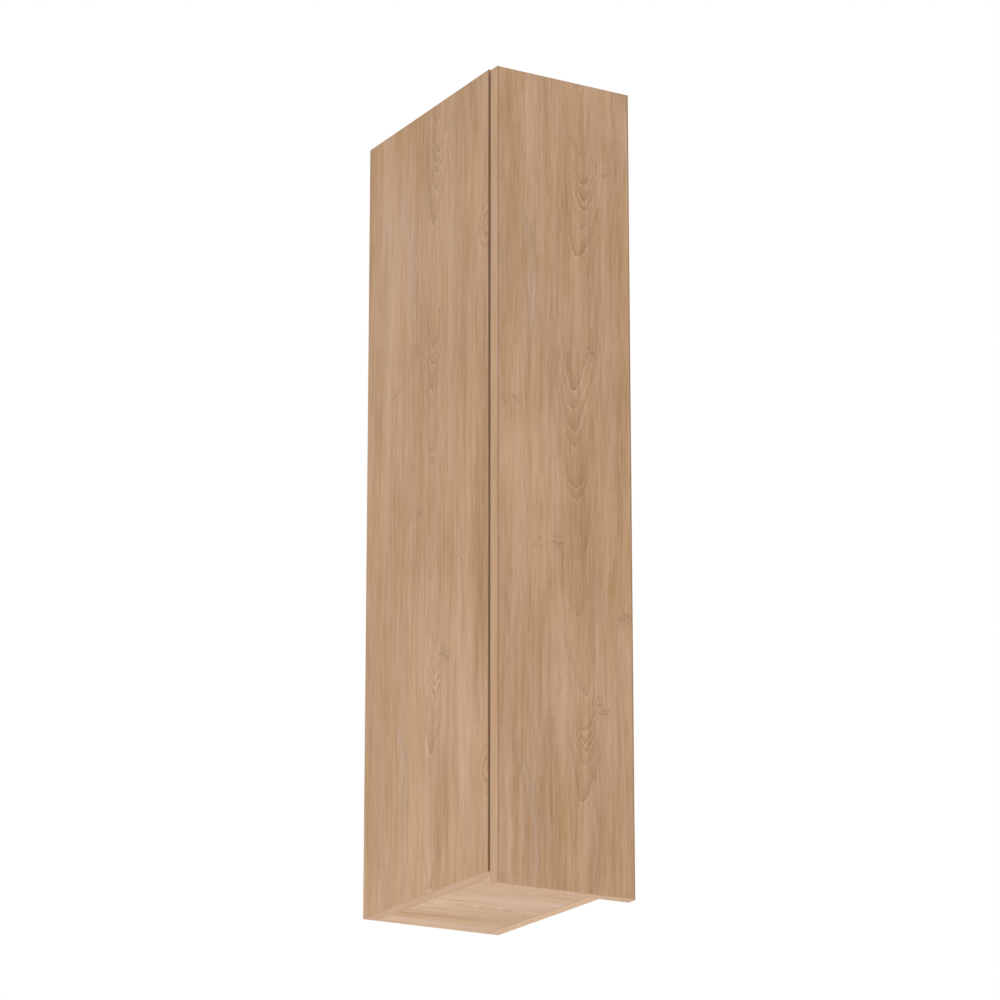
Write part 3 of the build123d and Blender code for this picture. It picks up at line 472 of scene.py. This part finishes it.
def band_material(name, seed, tint, level, upright=None, upright_tint=BAND_TINT, gap_shade=0.0):
    """Edge band with fine straight grain that runs along each strip.

    level is (along, across) for the strips that lie level. upright is (axis, distance, across):
    strips farther than the distance from the middle stand upright. The last argument darkens the outer
    edge of the front faces: painted shade for the shadow in the gap behind the door.
    """
    g = Graph(name)
    places = {"x": g.x, "y": g.y, "z": g.z}
    along, across = (places[axis] for axis in level)
    if upright:
        axis, distance, upright_across = upright
        standing = g.math("GREATER_THAN", g.size(places[axis]), distance)
        along = g.times_add(standing, g.minus(g.z, along), along)
        across = g.times_add(standing, g.minus(places[upright_across], across), across)
        tint = g.mix(standing, tint, upright_tint)
    place = (across, along)
    grain = streaks(g, place, 0.0, seed)
    pits = pores(g, place, seed)
    hue = g.grain_noise(place, BAND_HUE_CELL, seed, detail=1.0)
    colour = g.mix(g.ramp(hue, 0.35, 0.65), OAK_OCHRE, OAK_ROSE)
    colour = g.tone(colour, g.times_add(pits, -0.08, g.times(grain, 0.6)))
    # painted shade: the outer edge of the front faces darkens for the shadow in the gap between door and
    # carcass
    outer = g.times(g.ramp(g.size(g.x), *GAP_SHADE_EDGE), g.ramp(g.facing["y"], -0.5, -0.2, 1.0, 0.0))
    colour = g.shade(g.vector_math("MULTIPLY", colour, tint), g.times_add(outer, -gap_shade, 1.0))
    height = g.minus(grain, pits)
    g.bump(height, BAND_RELIEF)
    return g.finish(colour, g.ramp(height, -1.0, 0.3, 0.58, 0.46))


# ------------------------------------------------------------------ other finishes
def back_board_material():
    """Thin board: printed oak towards the room, raw brown fibreboard towards the wall."""
    g = Graph("back_board")
    decor, height = oak(g, g.add(g.x, 0.02), g.add(g.z, 0.21), 0.0, 41.0)
    fibres = g.solid_noise((0.0016, 0.0016, 0.0016), detail=4.0, roughness=0.75)
    patches = g.solid_noise((0.06, 0.06, 0.06), detail=2.0)
    raw = g.blend(fibres, (0.235, 0.140, 0.072), (0.390, 0.250, 0.140))
    raw = g.shade(raw, g.spread(patches, 0.93, 1.07))
    printed = g.math("LESS_THAN", g.facing["y"], -0.5)
    g.bump(g.add(g.times(height, printed), g.times(fibres, 0.6)), 0.00008)
    return g.finish(g.mix(printed, raw, decor), g.spread(fibres, 0.72, 0.60))


def dowel_material():
    g = Graph("beech_dowel")
    grain = g.solid_noise((0.012, 0.0006, 0.0006), detail=2.0)
    rays = g.solid_noise((0.0025, 0.0004, 0.0004))
    colour = g.blend(grain, (0.56, 0.38, 0.22), (0.74, 0.56, 0.37))
    g.bump(grain, 0.00005)
    return g.finish(g.shade(colour, g.ramp(rays, 0.60, 0.75, 1.0, 0.85)), g.spread(grain, 0.60, 0.50))


def brushed_metal(name, dark, light, cell, rough):
    """Plated metal with fine marks along the longest side of the cell, faint clouds and small pits."""
    g = Graph(name)
    marks = g.solid_noise(cell, detail=3.0, roughness=0.6)
    clouds = g.solid_noise((0.008, 0.008, 0.008), detail=2.0)
    pits = g.ramp(g.solid_noise((0.0007, 0.0007, 0.0007), detail=1.0), 0.68, 0.76)
    colour = g.shade(g.blend(clouds, dark, light), g.times_add(pits, -0.18, g.spread(marks, 0.93, 1.04)))
    g.bump(g.times_add(pits, -0.8, marks), 0.00003)
    return g.finish(colour, g.times_add(pits, 0.15, g.spread(marks, *rough)), Metallic=1.0)


def cast_zinc():
    g = Graph("cast_zinc")
    grain = g.solid_noise((0.0005, 0.0005, 0.0005), detail=3.0, roughness=0.7)
    clouds = g.solid_noise((0.004, 0.004, 0.004), detail=2.0)
    colour = g.blend(clouds, (0.42, 0.43, 0.44), (0.56, 0.57, 0.58))
    g.bump(grain, 0.00006)
    return g.finish(g.shade(colour, g.spread(grain, 0.9, 1.06)), g.spread(grain, 0.55, 0.38), Metallic=1.0)


def moulded_plastic():
    g = Graph("moulded_plastic")
    grain = g.solid_noise((0.0004, 0.0004, 0.0004), detail=2.0, roughness=0.6)
    flow = g.solid_noise((0.010, 0.010, 0.010), detail=3.0)
    colour = g.blend(flow, (0.70, 0.68, 0.64), (0.80, 0.785, 0.75))
    g.bump(grain, 0.00004)
    return g.finish(colour, g.spread(grain, 0.50, 0.36))


def soft_bumper():
    g = Graph("soft_bumper")
    haze = g.solid_noise((0.0012, 0.0012, 0.0012), detail=2.0)
    colour = g.blend(haze, (0.66, 0.66, 0.64), (0.80, 0.80, 0.78))
    g.bump(haze, 0.00003)
    return g.finish(colour, g.spread(haze, 0.30, 0.22), Subsurface_Weight=0.35, Subsurface_Scale=0.002)


def floor_material():
    g = Graph("studio_floor")
    mottle = g.solid_noise((0.6, 0.6, 0.6), detail=3.0)
    colour = g.blend(mottle, (0.80, 0.80, 0.80), (0.83, 0.83, 0.83))
    return g.finish(colour, g.spread(mottle, 0.85, 0.75))


# ------------------------------------------------------------------ which finish goes where
def dress(names, material):
    for name in names:
        NODES[name].data.materials.clear()
        NODES[name].data.materials.append(material)


def dress_side(name, axes, shift, seed):
    dress([name], panel_material(f"{name}_oak", axes, shift, seed, SIDE_TINT))


def dress_door():
    low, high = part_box("door_panel")
    seams = (("x", low.x, high.x),)
    dress(["door_panel"], panel_material("door_oak", "xzy", (-0.027, 0.0), 9.0, DOOR_TINT, seams))


def dress_level_panels():
    names = ("bottom_panel", "top_panel", "lower_shelf", "middle_shelf", "upper_shelf")
    for number, name in enumerate(names):
        low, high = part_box(name)
        shift = (0.125 + 0.031 * number, 0.610 + 0.27 * number)
        # the bottom panel's tint is partly its own tone and partly painted light from below
        left, tint = (-SWEEP, BOTTOM_TINT) if name == "bottom_panel" else (low.x, SIDE_TINT)
        seams = (("-y", -SWEEP, -low.y), ("x", left, high.x))
        dress([name], panel_material(f"{name}_oak", "yxz", shift, 13.0 + 4.0 * number, tint, seams))


def dress_bands():
    front = -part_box("left_side_edge_bands")[0].y
    door_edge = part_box("door_edge_bands")[1].x
    skin = 0.001
    upright = ("y", front - skin, "x")
    # the same band gets painted shade on the left side panel and painted light on the right side panel
    for side, seed, tint in (("left", 31.0, LEFT_STRIP_TINT), ("right", 32.0, RIGHT_STRIP_TINT)):
        name = f"{side}_side_edge_bands"
        # the side bands get painted shade at the outer edge of their front faces, for the shadow in the door
        # gap
        dress([name], band_material(f"{name}_oak", seed, tint, "yx", upright, gap_shade=GAP_SHADE_SHARE))
    upright = ("x", door_edge - skin, "y")
    door_band = band_material("door_band_oak", 35.0, DOOR_BAND_TINT, "xy", upright, DOOR_BAND_TINT)
    dress(["door_edge_bands"], door_band)
    fronts = [name for name in NODES if name.endswith("_front_band")]
    dress(fronts, band_material("front_band_oak", 37.0, BAND_TINT, "xz"))


def dress_fittings():
    cell = (0.02, 0.0005, 0.0005)
    zinc = brushed_metal("zinc_plate", (0.56, 0.575, 0.60), (0.66, 0.67, 0.69), cell, (0.42, 0.30))
    cell = (0.0012, 0.0012, 0.0003)
    nickel = brushed_metal("nickel_plate", (0.60, 0.59, 0.565), (0.70, 0.69, 0.665), cell, (0.46, 0.34))
    covers = [f"{side}_hanger_{part}" for side in ("left", "right") for part in ("cover", "housing")]
    nickel_words = ("hinge", "screws", "shelf_pins", "cam_bolts")
    dress(["dowels"], dowel_material())
    dress(["wall_rail", "left_hanger_hook", "right_hanger_hook"], zinc)
    dress(["cam_locks"], cast_zinc())
    dress(["door_bumpers"], soft_bumper())
    dress(["cam_cover_caps", *covers], moulded_plastic())
    dress([name for name in NODES if any(word in name for word in nickel_words)], nickel)


# ------------------------------------------------------------------ studio
def make_floor():
    shape = bmesh.new()
    bmesh.ops.create_circle(shape, cap_ends=True, segments=96, radius=FLOOR_RADIUS)
    bmesh.ops.translate(shape, verts=shape.verts, vec=(0.0, 0.0, FLOOR_LEVEL))
    mesh = bpy.data.meshes.new("studio_floor")
    shape.to_mesh(mesh)
    shape.free()
    floor = bpy.data.objects.new("studio_floor", mesh)
    bpy.context.scene.collection.objects.link(floor)
    mesh.materials.append(floor_material())


def make_sky():
    world = bpy.data.worlds.new("studio_sky")
    world.use_nodes = True
    background = world.node_tree.nodes["Background"]
    background.inputs["Color"].default_value = (*WHITE, 1.0)
    background.inputs["Strength"].default_value = SKY_STRENGTH
    bpy.context.scene.world = world


def make_lamp(name, x, y, height, size, watts):
    lamp = bpy.data.lights.new(name, "AREA")
    lamp.shape = "SQUARE"
    lamp.size = size
    lamp.energy = watts
    light = bpy.data.objects.new(name, lamp)
    light.location = (x, y, FLOOR_LEVEL + height)
    light.rotation_euler = Vector((0.0, 0.0, 1.0)).to_track_quat("-Z", "Y").to_euler()
    light.visible_camera = False
    bpy.context.scene.collection.objects.link(light)


def make_camera():
    data = bpy.data.cameras.new("camera")
    data.lens = CAMERA_LENS
    data.sensor_width = SENSOR_WIDTH
    data.clip_end = FAR_CLIP
    camera = bpy.data.objects.new("camera", data)
    camera.location = CAMERA_PLACE
    camera.rotation_euler = (math.radians(CAMERA_TILT), 0.0, math.radians(CAMERA_TURN))
    bpy.context.scene.collection.objects.link(camera)
    bpy.context.scene.camera = camera


dress_side("left_side_panel", ("-y", "z", "x"), (-0.185, -0.080), 0.0)
dress_side("right_side_panel", ("y", "z", "x"), (0.140, 0.250), 5.0)
dress_door()
dress_level_panels()
dress_bands()
dress(["back_panel"], back_board_material())
dress_fittings()
make_floor()
make_sky()
for lamp_name, lamp_values in LAMPS.items():
    make_lamp(lamp_name, *lamp_values)
make_camera()
bpy.context.scene.view_settings.view_transform = "Standard"
